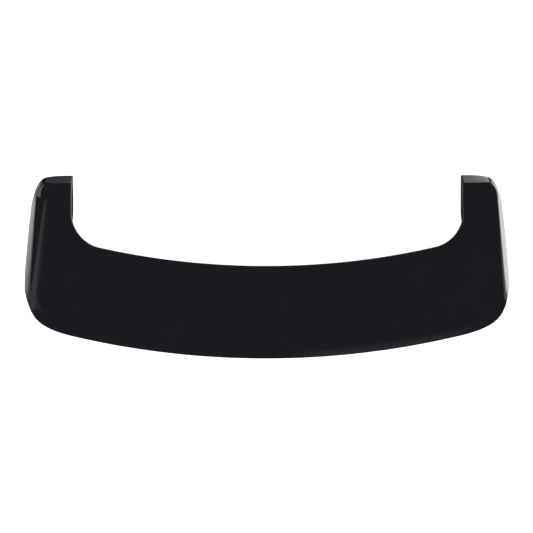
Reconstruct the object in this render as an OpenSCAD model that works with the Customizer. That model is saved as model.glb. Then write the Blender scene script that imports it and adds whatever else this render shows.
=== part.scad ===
// Rear spoiler of a hatchback, moulded in one piece with two forward arms that
// stand on the tailgate. X is across the car, Y is forward, Z is up.
// The origin is the centre of the four fixing holes, on the plane of the pads.

/* [Plan shape] */
// Half of the clear width between the arms
inner_half = 444; // [400:1:480]
// Width of the top face of an arm, at its rear end
arm_w = 96; // [90:1:120]
// Distance from the leading edge to the trailing edge, at the middle
chord = 206; // [170:1:240]
// Distance from the leading edge to the top of the noses
arm_reach = 186; // [170:1:220]
// Radius of the leading edge, seen from above
lead_radius = 1760; // [1500:10:3000]
// Radius of the trailing edge, seen from above
trail_radius = 1950; // [1500:10:3000]
// Radius of the corner between the leading edge and an arm
inner_fillet = 82; // [60:1:95]
// How far each side of the top face leans inward from its rear end to its front end
side_lean = 17; // [6:1:22]
// How far a rear corner reaches inward along the trailing edge
corner_width = 105; // [95:1:125]
// Distance from the middle of the trailing edge forward to the end of a rear corner
corner_depth = 122; // [108:1:135]
// How far the outer front corner of an arm is rounded off
nose_round = 17; // [6:1:24]

/* [Heights] */
// Height of the top face at the noses
nose_h = 18; // [14:0.5:30]
// Slope of the top face, upward to the rear, in degrees
top_slope = 11; // [4:0.5:16]
// Rise of the top face at the middle of the blade
crown = 8; // [0:0.5:20]
// Drop of the rounded shoulder along the outer edge
shoulder_drop = 2.5; // [0.5:0.25:6]
// Width of the rounded shoulder
shoulder_w = 22; // [10:1:40]

/* [Section] */
// Greatest thickness of the blade
blade_t = 24; // [16:0.5:34]
// Thickness of the trailing edge
trail_t = 4; // [3:0.25:8]
// Radius of the leading edge in section, at its underside
lead_edge_r = 6; // [4:0.25:8]
// Radius of the leading edge in section, at its top
lead_brow_r = 3; // [2:0.25:6]
// Radius of the inner top edge of an arm
arm_edge_r = 4; // [2:0.25:6]
// Radius of the crease between the top face and a side wall
crease_r = 1.8; // [1:0.1:1.9]
// How far a side wall flares outward at its foot
flare = 25; // [6:0.5:28]
// Draft of the inner wall of a leg, which leans out towards its foot
wall_draft = 2.2; // [0.5:0.1:4]
// Setback of the inner wall of a leg under the blade
leg_setback = 5; // [2:0.5:10]

/* [Fixing] */
// Distance between the front and rear fixing holes
fix_span_y = 96; // [80:1:110]
// Distance from the top of a nose back to the front fixing hole
fix_setback = 37; // [30:1:46]
// Radius of the threaded hole in an insert
thread_r = 2.5; // [1.5:0.1:3]
// Outer radius of an insert
insert_r = 4.5; // [4:0.1:5.5]
// Length of an insert
insert_len = 13; // [10:0.5:14]
// Radius of the collar at the mouth of an insert
collar_r = 6; // [5.8:0.1:7]
// Thickness of the collar, which stands through the washer to the seat plane
collar_t = 2.6; // [2.4:0.1:3.5]
// Free depth beyond an insert for the tip of a bolt
insert_relief = 2; // [1:0.5:3]
// Clearance between an insert and its hole
insert_clear = 0.05; // [0.02:0.01:0.2]

/* [Pads] */
// How far the tape and the washers stand proud of a foot
pad_proud = 0.8; // [0.4:0.1:1.2]
// Depth of the recesses for the tape and the washers
pad_recess = 0.7; // [0.4:0.1:1.2]
// Outer radius of a sealing washer
washer_r = 12; // [9:0.5:14]
// Radius of the hole in a sealing washer
washer_bore_r = 6.5; // [6.3:0.1:8]
// Width of a tape strip
tape_w = 10; // [6:0.5:12]
// Length of an outer tape strip
tape_outer_len = 170; // [120:1:185]
// Length of an inner tape strip
tape_inner_len = 104; // [80:1:120]
// Distance from an edge of a foot to the tape
tape_margin = 6; // [4:0.5:8]
// Distance from the top of a nose back to the tape
tape_setback = 4; // [3:0.5:9]

/* [Hidden] */

gloss_black = "#1a1b1f";
brass = "#b5934c";
foam_black = "#2c2c2e";
tape_grey = "#6f7174";
pad_t = pad_proud + pad_recess;
half_width = inner_half + arm_w;
fix_x = inner_half + arm_w / 2;
fix_front_y = arm_reach - fix_setback;
fix_centre_y = fix_front_y - fix_span_y / 2;

// Rear corner of the top face: a curve from the trailing edge to the straight side.
corner_x = half_width - corner_width;
corner_y = trail_radius - chord - sqrt(pow(trail_radius, 2) - pow(corner_x, 2));
corner_slope = asin(corner_x / trail_radius);
side_y = corner_depth - chord;
corner_reach = 85;
side_reach = 32;
side_turn = 70;
side_len = arm_reach - side_y;

// Inner corner between the leading edge and an arm: centre and first angle.
fillet_x = inner_half - inner_fillet;
fillet_y = lead_radius - sqrt(pow(lead_radius - inner_fillet, 2) - pow(fillet_x, 2));
fillet_turn = asin(fillet_x / (lead_radius - inner_fillet));
fillet_sweep = 90 - fillet_turn;

// The blade ends and the turn into an arm starts at these two points of its edges.
turn_in_arc = 75;
turn_out_arc = 90;
blade_in = fillet_x / (lead_radius - inner_fillet) * lead_radius - turn_in_arc;
blade_out = corner_x - turn_out_arc;
turn_in_len = turn_in_arc + inner_fillet * fillet_sweep * PI / 180;
corner_len = 146;
turn_side = 158;
turn_out_len = turn_out_arc + corner_len + turn_side;

// Stations along one half: blade, turn, arm, then the rounded rim of the nose.
blade_steps = 13;
turn_steps = 24;
arm_steps = 9;
arm_spacing = 1.6;
rim_steps = 4;
rim_r = 3;
steps = blade_steps + turn_steps + arm_steps + rim_steps;

// Points of one section, counted round from the bottom of the leg.
under_n = 7;
edge_n = 4;
top_n = 11;
crease_n = 3;
wall_n = 5;
foot_n = 5;
inner_n = 5;

side_tilt = atan(side_lean / side_len);

// Share of the turn over which the leg rises into the underside of the blade.
leg_from = 0.575;
leg_to = 0.69;
arm_from = 0.80;

// The nose: length over which it forms, slope of its face at the inner end, how much
// of that slope is lost at the outer end, and how late its outer corner turns.
nose_len = 37;
nose_lean = 1.02;
nose_fade = 0.26;
nose_curve = 3.5;

// Where the flare begins behind the side, and the lengths over which it grows at
// the rear and fades at the nose. It narrows evenly by a share along the arm.
flare_start = 1.4;
flare_grow = 53;
flare_fade = 46;
flare_past = 8;
flare_narrow = 0.74;
flare_curve = 1.2;

// Place of the greatest thickness along the blade, and how it thins behind it.
peak_share = 0.34;
thin_curve = 1.5;
top_spacing = 1.7;

// Knurled bands of an insert: waist depth, waist length and end chamfer.
waist_depth = 0.6;
waist_len = 2;
insert_chamfer = 0.5;

function mix(a, b, t) = a * (1 - t) + b * t;
function clamp(t) = max(0, min(1, t));
function smooth(t) = let(c = clamp(t)) c * c * (3 - 2 * c);
function share(t, a, b) = smooth((t - a) / (b - a));

// Cubic curve of the rear corner, from the trailing edge to the side.
function corner_point(t) = let(
    a = [corner_x, corner_y],
    d = [half_width, side_y],
    b = a + corner_reach * [cos(corner_slope), sin(corner_slope)],
    c = d - side_reach * [cos(side_turn), sin(side_turn)]
) pow(1 - t, 3) * a + 3 * pow(1 - t, 2) * t * b + 3 * (1 - t) * t * t * c + pow(t, 3) * d;

// Outer edge of the top face, at a place on the side given by Y.
function straight_side_x(y) = half_width - side_lean * (y - side_y) / side_len;
function side_x(y) = straight_side_x(y)
    - nose_round * pow(clamp((y - arm_reach + nose_len) / nose_len), nose_curve);

function trail_point(x) = [x, trail_radius - chord - sqrt(pow(trail_radius, 2) - x * x)];
function lead_point(x) = [x, lead_radius - sqrt(pow(lead_radius, 2) - x * x)];

// Outer edge of the top face along the turn, at a distance from its start.
function turn_out(len) =
    len < turn_out_arc ? trail_point(blade_out + len)
    : len < turn_out_arc + corner_len ? corner_point((len - turn_out_arc) / corner_len)
    : let(y = side_y + len - turn_out_arc - corner_len) [side_x(y), y];

// Inner edge along the turn, at a distance from its start.
function turn_in(len) =
    len < turn_in_arc ? lead_point(blade_in + len)
    : let(a = fillet_turn - 90 + (len - turn_in_arc) / inner_fillet * 180 / PI)
      [fillet_x + inner_fillet * cos(a), fillet_y + inner_fillet * sin(a)];

// One station: inner edge, outer edge, place in the turn, and inset of the rim.
function station(i) =
    i <= blade_steps
        ? let(t = i / blade_steps) [lead_point(blade_in * t), trail_point(blade_out * t), 0, 0]
    : i <= blade_steps + turn_steps
        ? let(t = (i - blade_steps) / turn_steps)
          [turn_in(turn_in_len * t), turn_out(turn_out_len * t), t, 0]
    : i <= blade_steps + turn_steps + arm_steps
        ? let(t = 1 - (i - blade_steps - turn_steps) / arm_steps)
          arm_station(1 - pow(t, arm_spacing), 0)
    : let(a = (i - steps + rim_steps) / rim_steps * 90)
      arm_station(1 + sin(a), 1 - cos(a));

// A station on an arm. The first part of t runs to the rim and the second round it.
function arm_station(t, inset) = let(
    y_in = t <= 1 ? mix(fillet_y, arm_reach - rim_r, t) : arm_reach + (t - 2) * rim_r,
    y_out = t <= 1 ? mix(side_y + turn_side, arm_reach - rim_r, t) : arm_reach + (t - 2) * rim_r
) [[inner_half, y_in], [side_x(y_out), y_out], 1, inset * rim_r];

// Height of the top face over a point in plan, before the shoulder is taken off.
function top_z(p) = nose_h + tan(top_slope) * (arm_reach - p.y)
    + crown * (1 - pow(p.x / half_width, 2));

// Rounded shoulder: how far the top drops at a distance from the outer edge.
function shoulder(d) = shoulder_drop * pow(1 - clamp(d / shoulder_w), 2);

// Thickness of the blade at a distance from the leading edge.
function blade_thick(d, c) = let(
    peak = peak_share * c,
    rise = clamp((d - lead_edge_r) / (peak - lead_edge_r)),
    fall = clamp((d - peak) / (c - peak))
) d < peak
    ? 2 * lead_edge_r + (blade_t - 2 * lead_edge_r) * sin(90 * rise)
    : trail_t + (blade_t - trail_t) * (1 - pow(fall, thin_curve));

// How far the side wall has flared at a place on the side given by Y.
function flare_at(y) = flare * sin(90 * clamp((y - side_y + flare_start) / flare_grow))
    * (1 - flare_narrow * clamp(y / arm_reach))
    * (1 - share(y, arm_reach - flare_fade, arm_reach + flare_past));

// Closed outline of one section, as [distance from the inner edge, height] pairs.
// It runs down the outer wall, across the foot, up the inner wall, along the
// underside to the leading edge, and back over the top face to the crease.
function section(a, b, s, inset) = let(
    c = norm(b - a),
    along = (b - a) / c,
    leg = share(s, leg_from, leg_to),
    arm = share(s, arm_from, 1),
    r = lead_edge_r,
    foot = pad_proud,
    out = flare_at(b.y),
    setback = leg > 0 ? (inner_half + leg_setback - a.x) / along.x : 0,
    rest_n = foot_n + inner_n + under_n,
    low_n = inner_n + under_n + edge_n,
    top = function(d) top_z(a + along * d) - shoulder(c - d),
    under = function(d) top(d) - blade_thick(d, c),
    thin = function(j) let(d = mix(c, r, j / rest_n)) [d, under(d)],
    inner = function(m) let(q = m / low_n)
        [mix(-wall_draft, 0, q), mix(foot, top(0) - arm_edge_r, q)],
    edge = top(c) - crease_r,
    hem = mix(top(c) - trail_t, foot, leg)
) [
    for (j = [1:wall_n]) let(q = j / wall_n)
        [c + out * pow(q, flare_curve), mix(edge, hem, q)],
    for (j = [1:foot_n]) let(
        q = j / foot_n,
        heel = mix(setback, 0, arm) - wall_draft
    ) mix(thin(j) + [out * (1 - q), 0], [mix(c + out, heel, q), foot], leg),
    for (j = [1:inner_n]) let(
        q = j / inner_n,
        wall = [setback - wall_draft * (1 - q), mix(foot, under(setback), q)]
    ) mix(mix(thin(foot_n + j), wall, leg), inner(j), arm),
    for (j = [1:under_n]) let(
        d = mix(setback, r, j / under_n),
        from_leg = mix(thin(rest_n - under_n + j), [d, under(d)], leg)
    ) mix(from_leg, inner(inner_n + j), arm),
    for (j = [1:edge_n]) let(
        t = 90 * j / edge_n,
        nose = [r - r * sin(t), top(r) - r - r * cos(t)]
    ) mix(nose, inner(inner_n + under_n + j), arm),
    for (j = [1:edge_n]) let(
        t = 90 * j / edge_n,
        k = mix(lead_brow_r, arm_edge_r, arm)
    ) [k - k * cos(t), top(k) - k + k * sin(t)],
    for (j = [1:top_n]) let(
        q = 1 - pow(1 - j / top_n, top_spacing),
        d = mix(mix(lead_brow_r, arm_edge_r, arm), c - crease_r, q)
    ) [d, top(d)],
    for (j = [1:crease_n]) let(t = 90 * j / crease_n)
        [c - crease_r + crease_r * sin(t), edge + crease_r * cos(t)]
];

// The same section in space. Towards the nose it leans forward at its foot.
function ring(i) = let(
    k = station(abs(i)),
    a = k[0],
    b = k[1],
    c = norm(b - a),
    along = (b - a) / c,
    inset = k[3],
    tip = share(b.y, arm_reach - nose_len, arm_reach)
) [
    for (p = section(a, b, k[2], inset)) let(
        d = inset + p[0] * (c - 2 * inset) / c,
        z = mix(p[1], pad_proud, inset / nose_h),
        q = a + along * d,
        lean = tip * (nose_lean - nose_fade * pow(clamp(d / c), 3)) * (nose_h - z)
    ) [sign(i) * q.x, q.y + lean - fix_centre_y, z]
];

module loft(rings) {
    n = len(rings[0]);
    m = len(rings);
    middle = function(r) [
        for (axis = [0:2]) ([for (p = r) p[axis]] * [for (p = r) 1]) / n
    ];
    points = [for (r = rings) each r, middle(rings[0]), middle(rings[m - 1])];
    sides = [
        for (i = [0:m - 2], j = [0:n - 1])
            let(a = i * n + j, b = i * n + (j + 1) % n)
            each [[a, a + n, b], [b, a + n, b + n]]
    ];
    first = [for (j = [0:n - 1]) [m * n, j, (j + 1) % n]];
    last = [for (j = [0:n - 1]) [m * n + 1, (m - 1) * n + (j + 1) % n, (m - 1) * n + j]];
    polyhedron(points, concat(sides, first, last));
}

module moulding() {
    loft([for (i = [-steps:steps]) ring(i)]);
}

// Places its children at one of the four fixing holes.
module at_fixing(side, end) {
    translate([side * fix_x, end * fix_span_y / 2, 0]) children();
}

// Blind hole for an insert, with a wider mouth for its collar, and the seat of
// its washer in the foot.
module insert_hole() {
    cylinder(r = insert_r + insert_clear, h = insert_len + insert_relief, $fn = 48);
    cylinder(r = collar_r + insert_clear, h = collar_t, $fn = 48);
    cylinder(r = washer_r, h = pad_t, $fn = 64);
}

// Threaded insert with a collar at its mouth and a waist between two knurled bands.
// Its mouth lies on the seat plane, so that a bolt pulls metal and not foam.
module insert() {
    waist = insert_r - waist_depth;
    band = (insert_len - collar_t - waist_len) / 2;
    slant = insert_chamfer;
    color(brass) rotate_extrude($fn = 48) polygon([
        [thread_r, 0],
        [collar_r, 0],
        [collar_r, collar_t],
        [insert_r, collar_t],
        [insert_r, collar_t + band],
        [waist, collar_t + band + slant],
        [waist, insert_len - band - slant],
        [insert_r, insert_len - band],
        [insert_r, insert_len - slant],
        [insert_r - slant, insert_len],
        [thread_r, insert_len]
    ]);
}

module washer() {
    color(foam_black) rotate_extrude($fn = 64)
        translate([washer_bore_r, 0]) square([washer_r - washer_bore_r, pad_t]);
}

// A strip with round ends that runs back from its front end.
module strip(len) {
    r = tape_w / 2;
    linear_extrude(pad_t) {
        translate([-r, r - len]) square([tape_w, len - tape_w]);
        translate([0, -r]) circle(r, $fn = 32);
        translate([0, r - len]) circle(r, $fn = 32);
    }
}

// Puts its children on the foot of one side, in front of the leading edge.
module on_foot(side, x, y) {
    mirror([side < 0 ? 1 : 0, 0, 0]) translate([x, y - fix_centre_y, 0]) children();
}

// The outer strip runs parallel to the side wall.
module outer_strip(side) {
    y = arm_reach - tape_setback;
    x = straight_side_x(y) - tape_margin - tape_w / 2;
    on_foot(side, x, y) rotate(side_tilt) strip(tape_outer_len);
}

// The inner strip runs parallel to the inner wall.
module inner_strip(side) {
    y = arm_reach - tape_setback;
    x = inner_half + leg_setback + tape_margin + tape_w / 2;
    on_foot(side, x, y) strip(tape_inner_len);
}

module spoiler_body() {
    color(gloss_black) difference() {
        moulding();
        for (side = [-1, 1], end = [-1, 1]) at_fixing(side, end) insert_hole();
        for (side = [-1, 1]) {
            outer_strip(side);
            inner_strip(side);
        }
    }
}

module insert_front_left() { at_fixing(-1, 1) insert(); }
module insert_rear_left() { at_fixing(-1, -1) insert(); }
module insert_front_right() { at_fixing(1, 1) insert(); }
module insert_rear_right() { at_fixing(1, -1) insert(); }
module washer_front_left() { at_fixing(-1, 1) washer(); }
module washer_rear_left() { at_fixing(-1, -1) washer(); }
module washer_front_right() { at_fixing(1, 1) washer(); }
module washer_rear_right() { at_fixing(1, -1) washer(); }
module tape_outer_left() { color(tape_grey) outer_strip(-1); }
module tape_inner_left() { color(tape_grey) inner_strip(-1); }
module tape_outer_right() { color(tape_grey) outer_strip(1); }
module tape_inner_right() { color(tape_grey) inner_strip(1); }

spoiler_body();
insert_front_left();
insert_rear_left();
insert_front_right();
insert_rear_right();
washer_front_left();
washer_rear_left();
washer_front_right();
washer_rear_right();
tape_outer_left();
tape_inner_left();
tape_outer_right();
tape_inner_right();
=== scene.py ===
"""Dressed scene of a rear spoiler: a gloss black moulding on threaded inserts.

The moulding is worked out at a fine pitch from the same named sizes as its solid and
stands in for it. The inserts, washers and tape strips keep their solids and get their
finishes here. Sizes of the moulding and of the holes in it are in millimetres, all
others in metres.
"""
from __future__ import annotations

import logging
import math
from collections.abc import Mapping, Sequence
from dataclasses import dataclass
from enum import Enum
from typing import Union

import bpy
import numpy as np
from mathutils import Matrix, Vector


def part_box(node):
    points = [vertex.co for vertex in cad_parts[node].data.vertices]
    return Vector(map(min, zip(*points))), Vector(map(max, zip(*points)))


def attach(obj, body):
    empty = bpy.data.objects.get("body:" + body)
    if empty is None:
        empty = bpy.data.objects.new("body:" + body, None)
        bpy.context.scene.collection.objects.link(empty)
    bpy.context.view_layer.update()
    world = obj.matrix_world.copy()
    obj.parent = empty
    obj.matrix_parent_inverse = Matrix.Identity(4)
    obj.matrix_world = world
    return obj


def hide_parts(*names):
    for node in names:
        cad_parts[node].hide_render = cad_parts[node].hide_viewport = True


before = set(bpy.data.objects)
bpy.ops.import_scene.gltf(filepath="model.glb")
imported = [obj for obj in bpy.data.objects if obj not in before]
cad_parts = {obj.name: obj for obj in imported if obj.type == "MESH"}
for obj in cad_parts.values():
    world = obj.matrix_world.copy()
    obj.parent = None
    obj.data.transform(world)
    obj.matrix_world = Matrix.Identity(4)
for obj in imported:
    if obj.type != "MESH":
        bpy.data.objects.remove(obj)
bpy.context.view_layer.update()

LOG = logging.getLogger("spoiler")
MM = 0.001
FRAME_PX = 533
Skin = tuple[np.ndarray, list[np.ndarray]]
Span = tuple[float, float]
Point = tuple[float, float, float]
Tint = tuple[float, float, float]
Colour = tuple[float, float, float, float]
Value = Union["Wire", float, Sequence[float]]

TO_RIGHT: Point = (1.0, 0.0, 0.0)
TO_LEFT: Point = (-1.0, 0.0, 0.0)
TO_FRONT: Point = (0.0, 1.0, 0.0)
UPWARD: Point = (0.0, 0.0, 1.0)


class End(Enum):
    """Place of a fixing along an arm, with its direction from the middle."""

    REAR = -1
    FRONT = 1


class Side(Enum):
    """Side of the car, with its direction from the middle."""

    LEFT = -1
    RIGHT = 1


class Fitting(Enum):
    """Kind of fitting: the first word of its solids' names."""

    INSERT = "insert"
    WASHER = "washer"
    TAPE = "tape"


# Formulas and meshes


def mix(a: np.ndarray | float, b: np.ndarray | float, t: np.ndarray | float) -> np.ndarray:
    """Straight blend from a to b: a (1 - t) + b t."""
    return a * (1 - t) + b * t


def clamp(t: np.ndarray | float) -> np.ndarray:
    """The value held between 0 and 1."""
    return np.clip(t, 0.0, 1.0)


def smooth(t: np.ndarray | float) -> np.ndarray:
    """S-shaped step from 0 to 1: 3 t^2 - 2 t^3."""
    held = clamp(t)
    return held * held * (3 - 2 * held)


def share(t: np.ndarray | float, start: float, stop: float) -> np.ndarray:
    """S-shaped step that rises while t goes from start to stop."""
    return smooth((t - start) / (stop - start))


def path(x: np.ndarray, y: np.ndarray) -> np.ndarray:
    """Plan points from their two coordinates, one row a point."""
    return np.stack([x, y], axis=-1)


def loft(rings: np.ndarray, first: np.ndarray, last: np.ndarray) -> Skin:
    """Closed skin through rings of points, drawn to a point at each end.

    Each ring is joined to the next by quads and each end point to its ring by
    triangles. The faces point outwards: where the volume, a sixth of the sum of the
    triple products of the faces, comes out negative, every face is turned over.

    Args:
        rings: array of rings by points by three.
        first: end point before the first ring.
        last: end point after the last ring.

    Returns:
        The points and the arrays of quads and triangles.
    """
    m, n, _ = rings.shape
    points = np.concatenate([rings.reshape(-1, 3), first[None, :], last[None, :]])
    i = np.arange(m - 1)[:, None] * n
    j = np.arange(n)
    k = (j + 1) % n
    quads = np.stack([i + j, i + k, i + n + k, i + n + j], axis=-1).reshape(-1, 4)
    start = np.stack([np.full(n, m * n), k, j], axis=-1)
    stop = np.stack([np.full(n, m * n + 1), (m - 1) * n + j, (m - 1) * n + k], axis=-1)
    tris = np.concatenate([start, stop])
    halves = np.concatenate([quads[:, [0, 1, 2]], quads[:, [0, 2, 3]], tris])
    a, b, c = (points[halves[:, corner]] for corner in range(3))
    if np.einsum("ij,ij->", a, np.cross(b, c)) < 0:
        quads, tris = quads[:, ::-1], tris[:, ::-1]
    return points, [quads, tris]


def stacked(plan: np.ndarray, z: np.ndarray) -> Skin:
    """Closed skin through flat outlines that lie one above another.

    Args:
        plan: array of outlines by points by two, in millimetres.
        z: height of each outline.

    Returns:
        The skin in metres.
    """
    heights = np.broadcast_to(z[:, None, None], (*plan.shape[:2], 1))
    rings = np.concatenate([plan, heights], axis=-1) * MM
    return loft(rings, rings[0].mean(axis=0), rings[-1].mean(axis=0))


def make_object(name: str, points: np.ndarray,
                faces: Sequence[np.ndarray]) -> bpy.types.Object:
    """Object at the origin whose mesh has the given points and faces.

    Args:
        name: name of the object and its mesh.
        points: one row a point, in metres.
        faces: arrays of point numbers, one row a face.

    Returns:
        The object, linked to the scene.
    """
    loops = np.concatenate([group.ravel() for group in faces])
    sizes = np.concatenate([np.full(len(group), group.shape[1]) for group in faces])
    mesh = bpy.data.meshes.new(name)
    mesh.vertices.add(len(points))
    mesh.vertices.foreach_set("co", points.astype(np.float32).ravel())
    mesh.loops.add(len(loops))
    mesh.loops.foreach_set("vertex_index", loops.astype(np.int32))
    mesh.polygons.add(len(sizes))
    mesh.polygons.foreach_set("loop_start", (np.cumsum(sizes) - sizes).astype(np.int32))
    mesh.update(calc_edges=True)
    made = bpy.data.objects.new(name, mesh)
    bpy.context.scene.collection.objects.link(made)
    return made


@dataclass(frozen=True)
class Pitch:
    """How many steps each stretch of the moulding is divided into.

    The first five run from the middle to the tip of a nose, the others round a section.
    """

    blade: int = 39
    turn: int = 96
    arm: int = 30
    rim: int = 10
    cap: int = 6
    wall: int = 15
    foot: int = 15
    inner: int = 15
    under: int = 21
    edge: int = 12
    top: int = 33
    crease: int = 10


@dataclass(frozen=True)
class Stations:
    """Sections along one half of the moulding, from the middle to the nose.

    Attributes:
        inner: plan points of the inner edge of the top face.
        outer: plan points of the outer edge.
        turn: place in the turn from blade to arm, 0 to 1.
        inset: how far the rim of the nose has rounded inward.
    """

    inner: np.ndarray
    outer: np.ndarray
    turn: np.ndarray
    inset: np.ndarray

    @property
    def chord(self) -> np.ndarray:
        """Length of each section in plan, one row a station."""
        return np.linalg.norm(self.outer - self.inner, axis=1)[:, None]

    @property
    def along(self) -> np.ndarray:
        """Direction of each section in plan, from its inner to its outer edge."""
        return (self.outer - self.inner) / self.chord


@dataclass(frozen=True)
class Moulding:
    """The one-piece moulding: a blade that turns forward into an arm at each end.

    The sizes come in this order: plan, top face, blade, edges, walls and feet, turn at a
    rear corner, nose, flare of the side walls. Slopes and side_turn are in degrees.
    leg_from, leg_to and arm_from are places in the turn, 0 to 1. Shares, curves and
    spacings have no unit, nor have nose_lean, nose_fade and flare_narrow.
    """

    inner_half: float = 444.0
    arm_w: float = 96.0
    chord: float = 206.0
    arm_reach: float = 186.0
    lead_radius: float = 1760.0
    trail_radius: float = 1950.0
    inner_fillet: float = 82.0
    side_lean: float = 17.0
    corner_width: float = 105.0
    corner_depth: float = 122.0
    nose_round: float = 17.0
    nose_h: float = 18.0
    top_slope: float = 11.0
    crown: float = 8.0
    shoulder_drop: float = 2.5
    shoulder_w: float = 22.0
    blade_t: float = 24.0
    trail_t: float = 4.0
    lead_edge_r: float = 6.0
    lead_brow_r: float = 3.0
    arm_edge_r: float = 4.0
    crease_r: float = 1.8
    flare: float = 25.0
    wall_draft: float = 2.2
    leg_setback: float = 5.0
    fix_span_y: float = 96.0
    fix_setback: float = 37.0
    pad_proud: float = 0.8
    corner_reach: float = 85.0
    side_reach: float = 32.0
    side_turn: float = 70.0
    turn_in_arc: float = 75.0
    turn_out_arc: float = 90.0
    corner_len: float = 146.0
    turn_side: float = 158.0
    rim_r: float = 3.0
    leg_from: float = 0.575
    leg_to: float = 0.69
    arm_from: float = 0.80
    nose_len: float = 37.0
    nose_lean: float = 1.02
    nose_fade: float = 0.26
    nose_curve: float = 3.5
    flare_start: float = 1.4
    flare_grow: float = 53.0
    flare_fade: float = 46.0
    flare_past: float = 8.0
    flare_narrow: float = 0.74
    flare_curve: float = 1.2
    peak_share: float = 0.34
    thin_curve: float = 1.5
    top_spacing: float = 1.7
    pitch: Pitch = Pitch()

    @property
    def half_width(self) -> float:
        """Half of the width of the top face."""
        return self.inner_half + self.arm_w

    @property
    def fix_x(self) -> float:
        """Distance of a fixing hole from the middle of the car."""
        return self.inner_half + self.arm_w / 2

    @property
    def fix_centre_y(self) -> float:
        """Distance of the middle of the holes in front of the leading edge."""
        return self.arm_reach - self.fix_setback - self.fix_span_y / 2

    @property
    def side_y(self) -> float:
        """Where a rear corner ends and the straight side begins."""
        return self.corner_depth - self.chord

    @property
    def corner_start(self) -> np.ndarray:
        """Plan point where the trailing edge turns into a rear corner."""
        return self.trail_point(np.array(self.half_width - self.corner_width))

    @property
    def fillet_centre(self) -> np.ndarray:
        """Centre of the round corner between the leading edge and an arm.

        Returns:
            Its plan point, a corner's radius from the leading edge and from the arm.
        """
        x = self.inner_half - self.inner_fillet
        arc = self.lead_radius - self.inner_fillet
        return np.array([x, self.lead_radius - math.sqrt(arc**2 - x**2)])

    @property
    def fillet_turn(self) -> float:
        """Direction of the leading edge where that corner begins, in radians."""
        return math.asin(self.fillet_centre[0] / (self.lead_radius - self.inner_fillet))

    @property
    def lead_end(self) -> float:
        """Distance from the middle of the car at which that corner begins."""
        across = self.fillet_centre[0] / (self.lead_radius - self.inner_fillet)
        return across * self.lead_radius

    def trail_point(self, x: np.ndarray) -> np.ndarray:
        """Point of the trailing edge, an arc of the trailing radius, at a given X."""
        return path(x, self.trail_radius - self.chord - np.sqrt(self.trail_radius**2 - x * x))

    def lead_point(self, x: np.ndarray) -> np.ndarray:
        """Point of the leading edge, an arc of the leading radius, at a given X."""
        return path(x, self.lead_radius - np.sqrt(self.lead_radius**2 - x * x))

    def straight_x(self, y: np.ndarray | float) -> np.ndarray | float:
        """Straight side, which leans inward towards the nose."""
        lean = self.side_lean * (y - self.side_y) / (self.arm_reach - self.side_y)
        return self.half_width - lean

    def side_x(self, y: np.ndarray) -> np.ndarray:
        """Outer side: the straight side, drawn in at the nose by a power of the place."""
        turn = clamp((y - self.arm_reach + self.nose_len) / self.nose_len)
        return self.straight_x(y) - self.nose_round * turn ** self.nose_curve

    def corner_point(self, t: np.ndarray) -> np.ndarray:
        """Rear corner: a cubic Bezier curve from the trailing edge to the side.

        Args:
            t: places on the curve, 0 to 1.

        Returns:
            The plan point at each place.
        """
        start = self.corner_start
        stop = np.array([self.half_width, self.side_y])
        slope = math.asin(start[0] / self.trail_radius)
        turn = math.radians(self.side_turn)
        leave = start + self.corner_reach * np.array([math.cos(slope), math.sin(slope)])
        arrive = stop - self.side_reach * np.array([math.cos(turn), math.sin(turn)])
        u = t[:, None]
        return ((1 - u) ** 3 * start + 3 * (1 - u) ** 2 * u * leave
                + 3 * (1 - u) * u * u * arrive + u**3 * stop)

    def turn_outer(self, run: np.ndarray) -> np.ndarray:
        """Outer edge of the turn: the trailing arc, the rear corner, then the side.

        Args:
            run: distances from the end of the blade.

        Returns:
            The plan point at each distance.
        """
        arc = self.trail_point(self.corner_start[0] - self.turn_out_arc
                               + np.minimum(run, self.turn_out_arc))
        t = (run - self.turn_out_arc) / self.corner_len
        y = self.side_y + run - self.turn_out_arc - self.corner_len
        out = np.where((t > 0)[:, None], self.corner_point(clamp(t)), arc)
        return np.where((t > 1)[:, None], path(self.side_x(y), y), out)

    def turn_inner(self, run: np.ndarray) -> np.ndarray:
        """Inner edge of the turn: the leading arc, then the round corner.

        Args:
            run: distances from the end of the blade.

        Returns:
            The plan point at each distance.
        """
        arc = self.lead_point(self.lead_end - self.turn_in_arc
                              + np.minimum(run, self.turn_in_arc))
        angle = self.fillet_turn - math.pi / 2 + (run - self.turn_in_arc) / self.inner_fillet
        corner = self.fillet_centre + self.inner_fillet * path(np.cos(angle), np.sin(angle))
        return np.where((run > self.turn_in_arc)[:, None], corner, arc)

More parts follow.
